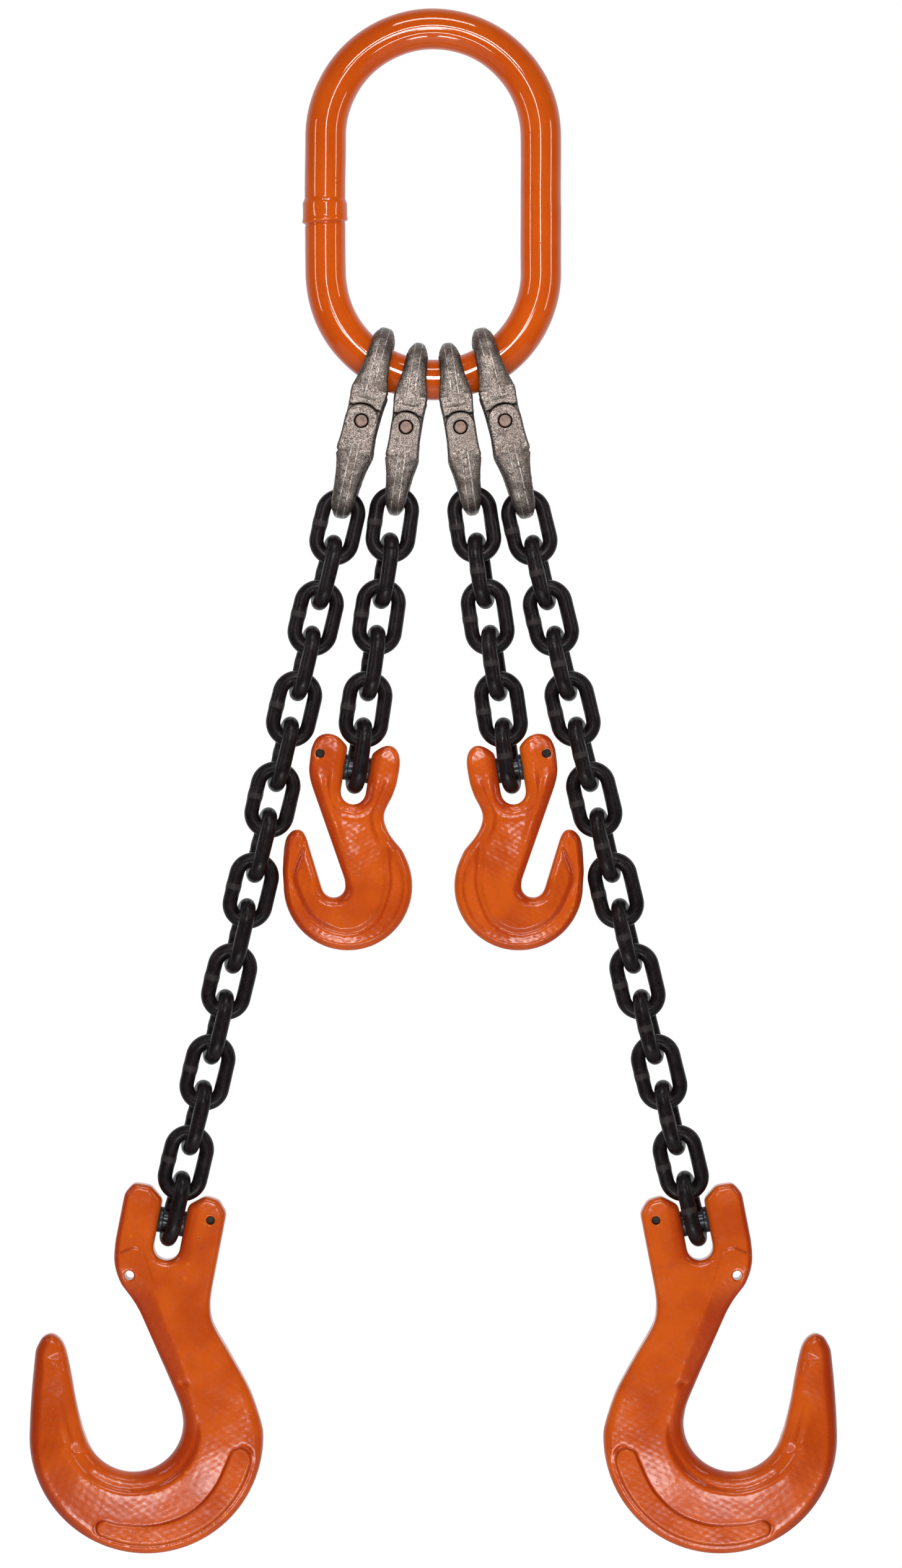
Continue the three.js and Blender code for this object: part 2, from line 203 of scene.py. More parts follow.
def solid_mesh(name, field, low, high, step):
    """The surface of a field as an even quad mesh, by surface nets. Its points are then moved
    onto the field's zero."""
    step *= STEP_SCALE
    axes = [np.arange(a - 2 * step, b + 2 * step, step) for a, b in zip(low, high)]
    shape = tuple(len(a) for a in axes)
    grid = [a.reshape([-1 if i == k else 1 for i in range(3)]) for k, a in enumerate(axes)]
    values = np.broadcast_to(field(*grid), shape).astype(np.float32)
    inside = values < 0
    cells = tuple(n - 1 for n in shape)
    total = np.zeros((3, *cells), np.float32)
    count = np.zeros(cells, np.float32)
    edges = []
    for k in range(3):
        first = [slice(None)] * 3
        second = [slice(None)] * 3
        first[k], second[k] = slice(None, -1), slice(1, None)
        v0, v1 = values[tuple(first)], values[tuple(second)]
        crossing = inside[tuple(first)] != inside[tuple(second)]
        edges.append((crossing, inside[tuple(first)]))
        share = np.where(crossing, v0 / np.where(crossing, v0 - v1, 1), 0)
        m, n = [i for i in range(3) if i != k]
        for dm in (0, 1):
            for dn in (0, 1):
                part = [slice(None)] * 3
                part[m] = slice(dm, cells[m] + dm)
                part[n] = slice(dn, cells[n] + dn)
                here = crossing[tuple(part)]
                count += here
                total[k] += share[tuple(part)] * here
                total[m] += dm * here
                total[n] += dn * here
    used = count > 0
    index = np.full(cells, -1, np.int64)
    index[used] = np.arange(used.sum())
    corner = np.array(np.nonzero(used)).T
    points = (corner + (total[:, used] / count[used]).T) * step + [a[0] for a in axes]
    quads = []
    for k, (crossing, first_inside) in enumerate(edges):
        m, n = (k + 1) % 3, (k + 2) % 3
        at = np.array(np.nonzero(crossing)).T
        around = []
        for dm, dn in ((0, 0), (-1, 0), (-1, -1), (0, -1)):
            cell = at.copy()
            cell[:, m] += dm
            cell[:, n] += dn
            around.append(index[tuple(cell.T)])
        quad = np.array(around).T
        outward = first_inside[crossing]
        quad[~outward] = quad[~outward][:, ::-1]
        quads.append(quad)
    quads = np.vstack(quads)
    for _ in range(3):
        points = onto_surface(field, points, 0.5 * step)
    return quad_mesh(name, points, quads)


def onto_surface(field, points, most):
    """Points moved along the field's slope towards its zero, each by at most the given step."""
    x, y, z = points.T
    h = 0.02  # mm, the reach to each side over which the slope is taken
    value = field(x, y, z)
    slope = np.column_stack([
        field(x + h, y, z) - field(x - h, y, z),
        field(x, y + h, z) - field(x, y - h, z),
        field(x, y, z + h) - field(x, y, z - h),
    ]) / (2 * h)
    size = np.maximum((slope**2).sum(1), 0.05)
    return points - slope * np.clip(value / size, -most, most)[:, None]


def quad_mesh(name, points, quads):
    """A smooth-shaded mesh in metres from points in mm."""
    mesh = bpy.data.meshes.new(name)
    mesh.vertices.add(len(points))
    mesh.vertices.foreach_set("co", (np.asarray(points) * MM).astype(np.float32).ravel())
    mesh.loops.add(len(quads) * 4)
    mesh.loops.foreach_set("vertex_index", np.asarray(quads, np.int32).ravel())
    mesh.polygons.add(len(quads))
    mesh.polygons.foreach_set("loop_start", np.arange(0, len(quads) * 4, 4, dtype=np.int32))
    mesh.update(calc_edges=True)
    mesh.validate()
    mesh.shade_smooth()
    return mesh


def grid_faces(rows, columns):
    """Quads of a grid that closes on itself both ways."""
    i, j = np.meshgrid(np.arange(rows), np.arange(columns), indexing="ij")
    a = i * columns + j
    b = i * columns + (j + 1) % columns
    c = ((i + 1) % rows) * columns + (j + 1) % columns
    d = ((i + 1) % rows) * columns + j
    return np.column_stack([k.ravel() for k in (a, b, c, d)])


def turned_mesh(name, profile, sides=64):
    """A body of revolution about x. The profile's points are (x, radius) in mm and go round a
    closed section, or from one end on the axis to the other."""
    profile = np.array(profile, float)
    angles = np.linspace(0, 2 * math.pi, sides, endpoint=False)
    x = np.repeat(profile[:, 0], sides)
    r = np.repeat(profile[:, 1], sides)
    turns = np.tile(angles, len(profile))
    points = np.column_stack([x, r * np.cos(turns), r * np.sin(turns)])
    faces = grid_faces(len(profile), sides)
    mesh = bpy.data.meshes.new(name)
    mesh.from_pydata((points * MM).tolist(), [], faces.tolist())
    b = bmesh.new()
    b.from_mesh(mesh)
    bmesh.ops.remove_doubles(b, verts=b.verts, dist=1e-7)
    bmesh.ops.dissolve_degenerate(b, dist=1e-7, edges=b.edges)
    bmesh.ops.recalc_face_normals(b, faces=b.faces)
    b.to_mesh(mesh)
    b.free()
    mesh.shade_smooth()
    return mesh


def rounded_rod(start, end, r, bevel, bore=0.0, dish=0.0):
    """The profile of a rod or ring along x with rounded edges. dish sinks its ends a little."""
    corner = np.radians(np.linspace(0, 90, 6))
    rise = bevel * np.sin(corner)
    fall = bevel * (1 - np.cos(corner))
    left = np.column_stack([start + bevel - rise[::-1], r - fall[::-1]])
    right = np.column_stack([end - bevel + rise, r - fall])
    outside = np.vstack([left, np.column_stack([np.linspace(start, end, 9)[1:-1], [r] * 7]), right])
    if bore:
        return [(start, bore + bevel / 2), (start, (bore + r) / 2), *outside,
                (end, (bore + r) / 2), (end, bore + bevel / 2),
                (end - bevel / 2, bore), (start + bevel / 2, bore)]
    inner = [(start + dish, 0), (start + dish, 0.3 * r), (start, 0.72 * r)]
    outer = [(end, 0.72 * r), (end - dish, 0.3 * r), (end - dish, 0)]
    return [*inner, *outside, *outer]


# ---------------------------------------------------------------- master link

MASTER_BAR_R = 13.4
MASTER_INSIDE_WIDTH = 113.0
MASTER_INSIDE_LENGTH = 201.4
WELD_Z = -105.0


def oblong_frames(bend_r, straight, count):
    """Points on an oblong's centre line in the xz plane, and the outward direction at each. It
    starts at the middle of the left side and runs up."""
    quarter = math.pi / 2 * bend_r
    whole = 4 * quarter + 2 * straight
    s = np.arange(count) / count * whole
    points, outward = [], []
    for at in s:
        half, sign = (at, 1) if at < whole / 2 else (at - whole / 2, -1)
        if half < straight / 2:
            p, o = (-bend_r, half), (-1, 0)
        elif half < straight / 2 + 2 * quarter:
            a = (half - straight / 2) / bend_r
            p = (-bend_r * math.cos(a), straight / 2 + bend_r * math.sin(a))
            o = (-math.cos(a), math.sin(a))
        else:
            p, o = (bend_r, whole / 2 - half), (1, 0)
        points.append((sign * p[0], sign * p[1]))
        outward.append((sign * o[0], sign * o[1]))
    return np.array(points), np.array(outward), s, whole


def ring_mesh(name, bend_r, straight, rows, columns, section):
    """A closed ring swept along an oblong. section(s, whole, angle) gives the bar's radii outward
    and sideways: an array for each point of the ring."""
    points, outward, s, whole = oblong_frames(bend_r, straight, rows)
    angle = np.linspace(0, 2 * math.pi, columns, endpoint=False)
    s2, a2 = np.meshgrid(s, angle, indexing="ij")
    across, sideways = section(s2, whole, a2)
    x = points[:, :1] + outward[:, :1] * across
    z = points[:, 1:] + outward[:, 1:] * across
    return quad_mesh(name, np.column_stack([x.ravel(), sideways.ravel(), z.ravel()]),
                     grid_faces(rows, columns)[:, ::-1])


def master_section(s, whole, angle):
    """Round bar with an upset flash weld in the middle of the left side. The bar bows out a
    little there and the collar ends in a sharp line below."""
    way = np.where(s > whole / 2, s - whole, s)  # up from the middle of the left side
    up = way - (WELD_Z + MASTER_INSIDE_LENGTH / 2)
    slant = 0.9 * np.cos(angle)
    collar = ramp(up + slant, -7.8, -6.9) * (1 - ramp(up, 4.5, 8.5))
    rim = np.exp(-(((up + slant + 6.0) / 1.3) ** 2)) * 0.35
    groove = np.exp(-(((up + slant + 8.3) / 0.7) ** 2)) * 0.4
    uneven = 0.12 * np.sin(3 * angle + 0.8) + 0.08 * np.sin(5 * angle + way / 3)
    waves = 0.06 * np.sin(way / 17 + 2 * angle) + 0.05 * np.sin(way / 7.1 - angle)
    r = MASTER_BAR_R - 0.15 + collar * (1.25 + uneven) + rim - groove + waves
    bow = 0.5 * np.cos(np.clip(way / 60, -1, 1) * math.pi / 2) ** 2
    return r * np.cos(angle) + bow, r * np.sin(angle)


def master_link_mesh():
    bend_r = MASTER_INSIDE_WIDTH / 2 + MASTER_BAR_R
    straight = MASTER_INSIDE_LENGTH - MASTER_INSIDE_WIDTH
    return ring_mesh("master_link_bar", bend_r, straight, rows=900, columns=72,
                     section=master_section)


# ---------------------------------------------------------------- chain links

LINK_INSIDE_LENGTH = 31.05
LINK_INSIDE_WIDTH = 13.0
WIRE_R = 5.0
LINK_VARIANTS = 3


def chain_link_mesh(variant):
    """Welded link: slightly oval wire, flattened where the bends bear on each other, with the
    upset of the butt weld half way down one side."""
    bend_r = LINK_INSIDE_WIDTH / 2 + WIRE_R
    straight = LINK_INSIDE_LENGTH - LINK_INSIDE_WIDTH

    def section(s, whole, angle):
        way = np.where(s > whole / 2, s - whole, s)
        weld = np.exp(-((way / 2.6) ** 2))
        seam = np.exp(-(((way - 0.4 * np.sin(angle + variant)) / 0.45) ** 2))
        crown = np.cos(2 * math.pi * (way / whole - 0.25)) ** 8
        wobble = 0.05 * np.sin(way / 4.3 + 3 * variant)
        wobble = wobble + 0.04 * np.sin(2 * angle + way / 9 + variant)
        r = WIRE_R - 0.08 + 0.32 * weld - 0.12 * seam + wobble
        across = r * np.cos(angle) * (0.97 - 0.02 * crown)
        return across, r * np.sin(angle)

    return ring_mesh(f"chain_link_{variant}", bend_r, straight, rows=132, columns=30,
                     section=section)


# ---------------------------------------------------------------- coupling halves

BOW_THICKNESS = 8.5
BOW_INSIDE = 16.0
OUTER_FACE = BOW_INSIDE + BOW_THICKNESS
LUG_THICKNESS = 7.5
LUG_SINK = 0.5  # the outer lug's machined face lies this far below the bow's back
LUG_GAP = 0.5  # between the lugs of the two halves
INNER_FACE = OUTER_FACE - LUG_THICKNESS - LUG_GAP
COUPLING_PIN_R = 3.9
COUPLING_HOLE_R = 4.6
PIN_INSET = 0.6  # from the bow's back to the pin's ends
SLEEVE_R = 8.0
SLEEVE_GAP = 0.35  # between the sleeve's ends and the inner lugs
PIN_GAP = 0.05  # round a pin in its sleeve or collar
COUPLING_STEP = 0.55  # of the grid, in mm
DRAWN_LUG_R = 11  # the lug's radius that the outline below was drawn for
OUTER_COUPLING = (64.0, 11.0)  # from the pin to the crown's outside, and the lug's radius
INNER_COUPLING = (57.0, 9.9)


def coupling_outline(reach, lug_r):
    """Seen along the pin: round about it, widest at the shoulders and drawn in to the crown,
    where it runs on past the bow's end."""
    k = lug_r / DRAWN_LUG_R
    right = smooth(
        (lug_r, 0), (lug_r, 8), (lug_r + 0.3, 14), (lug_r + 0.8, 20), (lug_r + 0.1, 24),
        (9.9 * k, 29), (8.9 * k, 35), (8.2 * k, 42), (7.7 * k, 49), (7.4 * k, reach - 9),
        (6.8 * k, reach - 3), (6.6 * k, reach + 4),
    )
    turn = np.radians(np.linspace(180, 360, 25))
    squareness = 2 / 2.35  # 1 would be a circle
    head = lug_r * np.column_stack([
        np.sign(np.cos(turn)) * np.abs(np.cos(turn)) ** squareness,
        np.sign(np.sin(turn)) * np.abs(np.sin(turn)) ** squareness,
    ])
    return closed_outline(right, right[::-1] * [-1, 1], head, soften=0.8)


def coupling_field(reach, lug_r):
    """One forged half: a bow with an outer lug on +y and an inner lug on -y."""
    outline = coupling_outline(reach, lug_r)
    bend_z = reach - OUTER_FACE
    bow_middle = BOW_INSIDE + BOW_THICKNESS / 2
    bow_foot = lug_r + 4.5
    ridge_x = 2.3
    slope = math.radians(12)

    def slab(y, start, end):
        return np.maximum(start - y, y - end)

    def field(x, y, z):
        silhouette = distance_to_outline(outline, x, z)
        radial = np.hypot(y, np.maximum(z - bend_z, 0))
        rough = 0.13 * lumps(x, y, z, 9) + 0.06 * lumps(y, z, x, 3.1)
        # The bow, with a flat band between two ridges down its back.
        round_over = 1.6 + 2.9 * ramp(z, bow_foot + 3, bow_foot + 20)
        bearing = 1.4 * (1 - ramp(np.abs(y), 5, 13)) * ramp(z, reach - 14, reach - 6)
        thickness = np.abs(radial - bow_middle) - BOW_THICKNESS / 2
        bow = both(silhouette + bearing, thickness, round_over)
        back = (radial - OUTER_FACE) * math.cos(slope) + (np.abs(x) - ridge_x) * math.sin(slope)
        bow = both(bow, back, 1.0)
        foot_z = bow_foot + 0.06 * x * x * ramp(y, 0, 1)
        bow = both(bow, foot_z - z, 0.35)
        # The outer lug, flat on both faces, and the inner lug with the shoulder that carries it.
        outer = both(silhouette, slab(y, OUTER_FACE - LUG_THICKNESS, OUTER_FACE - LUG_SINK), 1.5)
        outer = both(outer, z - bow_foot - 6, 1.5)
        inner = both(silhouette, slab(y, -INNER_FACE, LUG_THICKNESS - INNER_FACE), 1.2)
        inner = both(inner, z - lug_r - 9, 2.0)
        shoulder_high = LUG_THICKNESS - INNER_FACE - 2
        shoulder = both(silhouette, np.maximum(LUG_SINK - OUTER_FACE - y, y - shoulder_high), 1.1)
        shoulder = both(shoulder, z - bow_foot - 7, 1.5)
        clear = lug_r + 0.7 - np.hypot(x, z)
        shoulder = both(shoulder, np.maximum(clear, 0.85 * lug_r - z), 0.5)
        half = either(either(bow, outer, 0.4), either(inner, shoulder, 0.8), 0.8)
        hole = COUPLING_HOLE_R - np.hypot(x, z)
        return both(half + rough * ramp(z, bow_foot - 1, bow_foot + 1), hole, 0.35)

    return field


def coupling_mesh(name, reach, lug_r):
    field = coupling_field(reach, lug_r)
    low = (-lug_r - 2, -OUTER_FACE - 0.5, -lug_r - 0.5)
    high = (lug_r + 2, OUTER_FACE + 0.5, reach + 0.5)
    return solid_mesh(name, field, low, high, COUPLING_STEP)


# ---------------------------------------------------------------- what both kinds of hook share

LOAD_PIN_R = 6.0
BORE_GAP = 0.25  # round the load pin
BORE_END_GAP = 0.3  # beyond its ends
COLLAR_R = 8.4
COLLAR_FACE = 5.6  # from the middle of the slot, just clear of the link's sides
RETAINER_GAP = 0.15  # round a retaining pin


def bored(hook, ends, x, y, z):
    """The hook's field with the load pin's bore taken out of it. The bore is closed at both ends,
    because the ears are painted over without a mark."""
    beyond = np.maximum(ends[0] - BORE_END_GAP - x, x - ends[1] - BORE_END_GAP)
    bore = np.maximum(np.hypot(y, z) - LOAD_PIN_R - BORE_GAP, beyond)
    return both(hook, -bore, 0.5)


def drilled(hook, hole, bevel, x, z):
    """The hook's field with a hole along y taken out of it. hole is its radius, x and z."""
    r, hole_x, hole_z = hole
    return both(hook, r - np.hypot(x - hole_x, z - hole_z), bevel)


# ---------------------------------------------------------------- foundry hook

FOUNDRY_STEP = 0.92  # of the grid, in mm, coarse enough for the export to keep every face
FOUNDRY_BOX = ((-74, -15, -219), (90, 15, 24))
FOUNDRY_PIN = (-29.5, 29.5)  # where the load pin ends, inside the ears
FOUNDRY_RETAINER = (2.75, 24.7, 6.3)  # the retaining pin's hole: its radius, x and z
FOUNDRY_RETAINER_HALF = 8.6  # half that pin's length
FOUNDRY_SLOT_R = 8.6
FOUNDRY_SLOT_Z = -16.5  # the middle of the slot's round foot
LATCH_HOLE = (3.1, -20.2, -38.7)
BOWL_X, BOWL_Z, BOWL_R = 0.3, -132.5, 32.4

FOUNDRY_INSIDE = [
    smooth((-56.2, -88.5), (-52, -94), (-46, -107.5), (-38.5, -127), (-30.5, -144.5)),
    arc(BOWL_X, BOWL_Z, BOWL_R, -155, 14.5),
    smooth((28.9, -117), (22.6, -107), (-4.7, -67), (-12.4, -57), (-17.6, -51.7)),
    smooth((-24.5, -45.5), (-29.3, -37.5), (-32.2, -29), (-33.4, -18)),
]
FOUNDRY_OUTLINE = closed_outline(
    [(-33.4, -10), (-33.4, 13), (-29, 20.4), (-18, 20.9), (-FOUNDRY_SLOT_R, 13.5)],
    arc(0, FOUNDRY_SLOT_Z, FOUNDRY_SLOT_R, 180, 360),
    [(FOUNDRY_SLOT_R, 13), (18.5, 20.9), (27.5, 19.8), (33.8, 12.5), (33.8, -38)],
    smooth((34.3, -46), (38.5, -59), (53.7, -77), (70.3, -97), (80.5, -114)),
    arc(10.4, -140.1, 76, 14, -171),
    smooth((-66.6, -140), (-69.2, -119), (-71, -98)),
    smooth((-68.3, -89.2), (-62.5, -85.8), (-56.2, -88.5)),
    *FOUNDRY_INSIDE,
    soften=1.6,
)
FOUNDRY_PAD = closed_outline(
    arc(72.8, -142, 6.8, 180, 0),
    arc(10.4, -140.1, 69.5, -2, -104),
    arc(-4.6, -203.2, 5.2, 250, 100),
    smooth((-5.5, -198.1), (7.9, -198.3), (29, -194.2), (47.7, -182.7), (60, -165), (66, -142.5)),
    soften=0.9,
)
FOUNDRY_RIB = closed_outline(
    smooth((-42, -34), (-32.2, -27.1), (-27.6, -24.5), (-21, -20.3), (-13.7, -22.5), (-7.5, -33.3),
           (-1.3, -43.6), (8.5, -61.6), (17.5, -75.5), (27, -91), (39, -117), (45.5, -131),
           (45, -146), (39, -160), (25, -172.3), (-0.2, -178.2), (-24, -173.5)),
    [(-42, -158), (-22, -140), (0, -135), (18, -125), (-12, -76), (-40, -50)],
    soften=1.0,
)
FOUNDRY_SPINE = np.vstack(FOUNDRY_INSIDE)
FOUNDRY_SLOT = np.vstack([
    [(-FOUNDRY_SLOT_R, 14)],
    arc(0, FOUNDRY_SLOT_Z, FOUNDRY_SLOT_R, 180, 360),
    [(FOUNDRY_SLOT_R, 14)],
])


def foundry_half(x, z, d):
    """Half the hook's thickness at a place in its plane. d is how far that is outside the
    outline."""
    inner = distance_to_line(FOUNDRY_SPINE, x, z)
    shank = ramp(-z, 30, 62)
    bowl = ramp(-z, 92, 132)
    tip = ramp(-x, 26, 62) * ramp(z, -190, -120)
    # A crest runs down the shank and round the bowl, and the faces fall away on both its sides.
    rib = distance_to_outline(FOUNDRY_RIB, x, z)
    away = np.hypot(np.clip(rib, -24, 30), 2.5) - 2.5
    fall = np.where(rib < 0, 0.40, 0.10 + 0.07 * bowl)
    crest = 13.2 - fall * away
    boss = 1 - ramp(rib, -1.2, 0.5)
    half = (1 - shank) * (11.3 + 1.1 * boss) + shank * crest
    half = half * (1 - tip) + (9.6 - 0.05 * inner) * tip
    # A lower band with a crease at its foot follows the bowl's inside.
    band = (1 - ramp(inner, 8.5, 14.5)) * ramp(-z, 112, 150) * (1 - tip)
    half = half - 1.2 * band - 0.5 * np.exp(-(((inner - 10.5) / 1.5) ** 2)) * band
    # The ears fall away in a soft round towards the slot, and their tops are worn back.
    slot = distance_to_line(FOUNDRY_SLOT, x, z)
    half = half - 1.3 * (1 - ramp(slot, 0, 9)) * (1 - ramp(-z, 20, 34))
    half = half - 2.2 * ramp(z, 4, 24)
    # A rim along the foot, and the flat raised pad inside it with a steep wall.
    half = half + 0.5 * np.exp(-(((d + 4.5) / 2.4) ** 2)) * ramp(-z, 150, 185)
    pad = distance_to_outline(FOUNDRY_PAD, x, z)
    outer_side = ramp(d, -16, -10)
    half = half - (0.12 + 1.0 * outer_side) * np.exp(-(((pad - 1.3) / 1.4) ** 2))
    on_pad = 1 - ramp(pad, -0.7, 0.5)
    half = half + on_pad * (np.maximum(half + 0.25, 11.9) - half)
    # The ground facets inside the point meet in a ridge.
    upper = (x + 62.6) * 0.62 - (z + 102.1) * 0.79
    lower = (x + 62.6) * 0.5 + (z + 102.1) * 0.87
    facet = np.clip(np.minimum(upper, lower), 0, 9)
    half = half - 0.42 * facet * (x > -75) * (1 - ramp(-z, 116, 126)) * (1 - ramp(x, -40, -30))
    # A nick by the throat.
    nick = np.hypot((x - 27.6) / 3.4, (z + 100.8) / 2.0)
    half = half - 1.3 * np.exp(-(nick**2))
    return half + 0.06 * lumps(x, 0, z, 26) + 0.05 * lumps(x, 0, z, 7)


def foundry_field(x, y, z):
    d = distance_to_outline(FOUNDRY_OUTLINE, x, z)
    bowl = ramp(-z, 70, 120)
    tip = ramp(-x, 30, 66) * ramp(z, -180, -110)
    round_over = 3.8 + 3.4 * bowl + 1.4 * tip
    hook = both(d, np.abs(y) - foundry_half(x, z, d), round_over)
    hook = drilled(hook, LATCH_HOLE, 0.7, x, z)
    hook = drilled(hook, FOUNDRY_RETAINER, 0.4, x, z)
    return bored(hook, FOUNDRY_PIN, x, y, z)


# ---------------------------------------------------------------- grab hook

GRAB_STEP = 0.7  # of the grid, in mm
GRAB_BOX = ((-42, -13.5, -121), (50, 13.5, 22))
GRAB_PIN = (-25.5, 22.5)
GRAB_RETAINER = (2.95, -25.1, 6.2)
GRAB_RETAINER_HALF = 6.4
GRAB_SLOT_R = 8.2
GRAB_SLOT_Z = -15.2

GRAB_OUTLINE = closed_outline(
    [(-30.9, -2)],
    smooth((-31.3, 8), (-28.8, 16), (-22.5, 19.8), (-15, 18.6), (-GRAB_SLOT_R, 13.2)),
    arc(0, GRAB_SLOT_Z, GRAB_SLOT_R, 180, 360),
    smooth((GRAB_SLOT_R, 11.2), (13.5, 16.2), (19.4, 18.4), (24.4, 15.4), (27.1, 8),
           (27.1, -6)),
    smooth((25.6, -14), (22, -27), (27, -38), (37.5, -47.7)),
    arc(6.2, -76.1, 41.8, 34, -172),
    smooth((-37.3, -73), (-38.7, -58), (-38.2, -50.5)),
    smooth((-34.8, -45.6), (-29.5, -44.8), (-25.6, -49)),
    arc(-3.1, -77.2, 7.9, 202, 356),
    [(3.6, -72.4)],
    smooth((-25.8, -17.9), (-29, -11), (-30.7, -5)),
    soften=1.4,
)
GRAB_BODY = closed_outline(
    smooth((-26, -56), (-29.5, -73), (-25.4, -84), (-16.3, -96.7), (-6, -103.2), (6.5, -105.8),
           (17.2, -103.1), (25.2, -95.7), (28.8, -86.6), (30.6, -72.1), (27.7, -57.3), (24, -40),
           (20, -22)),
    [(-18, -22), (-22, -40)],
    soften=1.2,
)
GRAB_SLOT = np.vstack([
    [(-GRAB_SLOT_R, 14)],
    arc(0, GRAB_SLOT_Z, GRAB_SLOT_R, 180, 360),
    [(GRAB_SLOT_R, 12)],
])


def grab_half(x, z, d):
    """Half the hook's thickness at a place in its plane. d is how far that is outside the
    outline."""
    bowl = ramp(-z, 36, 62)
    tip = ramp(-x, 14, 34) * ramp(z, -96, -60)
    half = 8.6 + 0.4 * bowl - 1.4 * tip + 1.5 * (1 - ramp(-z, 14, 34))
    # A crowned body round the slot stands above a groove, with a raised rim at the edge.
    body = distance_to_outline(GRAB_BODY, x, z)
    crown = np.clip(-body, 0, 16)
    half = half + (1.0 * (1 - ramp(body, -2.5, 0.6)) + 0.11 * crown) * ramp(-z, 24, 78)
    half = half - 0.8 * np.exp(-(((body - 1.6) / 1.7) ** 2)) * bowl
    half = half + 0.7 * np.exp(-(((-d - 4.0) / 2.2) ** 2)) * bowl * ramp(body, 1, 3)
    # The mouth of the slot is filleted, and its foot lies lower.
    mouth = np.hypot(x + 3.1, z + 77.2)
    half = half - 2.0 * (1 - ramp(mouth, 7.5, 15)) * ramp(-z, 70, 82)
    # The shank has a soft ridge down each side that runs out into the ears.
    ridge = np.exp(-(((-d - 6.0) / 2.8) ** 2)) * (1 - bowl) * ramp(-z, -2, 14)
    half = half + 1.1 * ridge
    half = half + 0.5 * (1 - ramp(np.abs(x - 2), 4, 17)) * ramp(-z, 20, 44) * (1 - ramp(-z, 44, 90))
    slot = distance_to_line(GRAB_SLOT, x, z)
    half = half - 1.0 * (1 - ramp(slot, 0, 8)) * (1 - ramp(-z, 20, 32))
    half = half - 1.2 * ramp(z, 8, 19)
    return half + 0.1 * lumps(x, 0, z, 19) + 0.07 * lumps(x, 0, z, 6)


def grab_field(x, y, z):
    d = distance_to_outline(GRAB_OUTLINE, x, z)
    round_over = 3.6 + 1.4 * ramp(-z, 36, 62)
    hook = both(d, np.abs(y) - grab_half(x, z, d), round_over)
    hook = drilled(hook, GRAB_RETAINER, 0.4, x, z)
    return bored(hook, GRAB_PIN, x, y, z)


# ---------------------------------------------------------------- materials

def add_node(tree, kind, inputs=None, **settings):
    """A new shader node. Each input is given by its name or number, as a value or as a socket
    that is linked to it."""
    made = tree.nodes.new(kind)
    for key, value in settings.items():
        setattr(made, key, value)
    for key, value in (inputs or {}).items():
        if isinstance(value, bpy.types.NodeSocket):
            tree.links.new(value, made.inputs[key])
        else:
            made.inputs[key].default_value = value
    return made


def calc(tree, operation, *values):
    inputs = dict(enumerate(values))
    return add_node(tree, "ShaderNodeMath", inputs, operation=operation).outputs[0]


def scaled(tree, value, start, end, low=0.0, high=1.0):
    """The value from start to end turned into low to high, with soft ends."""
    inputs = {"Value": value, "From Min": start, "From Max": end, "To Min": low, "To Max": high}
    return add_node(tree, "ShaderNodeMapRange", inputs, interpolation_type="SMOOTHSTEP").outputs[0]


def noise(tree, where, size, detail=3.0, roughness=0.55):
    """Noise between 0 and 1 with features about size mm wide."""
    inputs = {"Vector": where, "Scale": 1 / size, "Detail": detail, "Roughness": roughness}
    return add_node(tree, "ShaderNodeTexNoise", inputs).outputs["Fac"]


def blend(tree, factor, a, b):
    """The colour a where factor is 0 and b where it is 1."""
    made = tree.nodes.new("ShaderNodeMix")
    made.data_type = "RGBA"
    sockets = [i for i in made.inputs if i.type == "RGBA"]
    tree.links.new(factor, made.inputs[0])
    for socket, value in zip(sockets, (a, b)):
        if isinstance(value, bpy.types.NodeSocket):
            tree.links.new(value, socket)
        else:
            socket.default_value = (*value, 1)
    return [o for o in made.outputs if o.type == "RGBA"][0]


def bumped(tree, height, distance, normal=None):
    """Normals from a height of 0 to 1 that stands for distance mm."""
    inputs = {"Height": height, "Strength": 1.0, "Distance": distance * MM}
    if normal:
        inputs["Normal"] = normal
    return add_node(tree, "ShaderNodeBump", inputs).outputs[0]


NOISE_SHIFT = 300.0  # the noise is moved by up to this many mm from one piece to the next


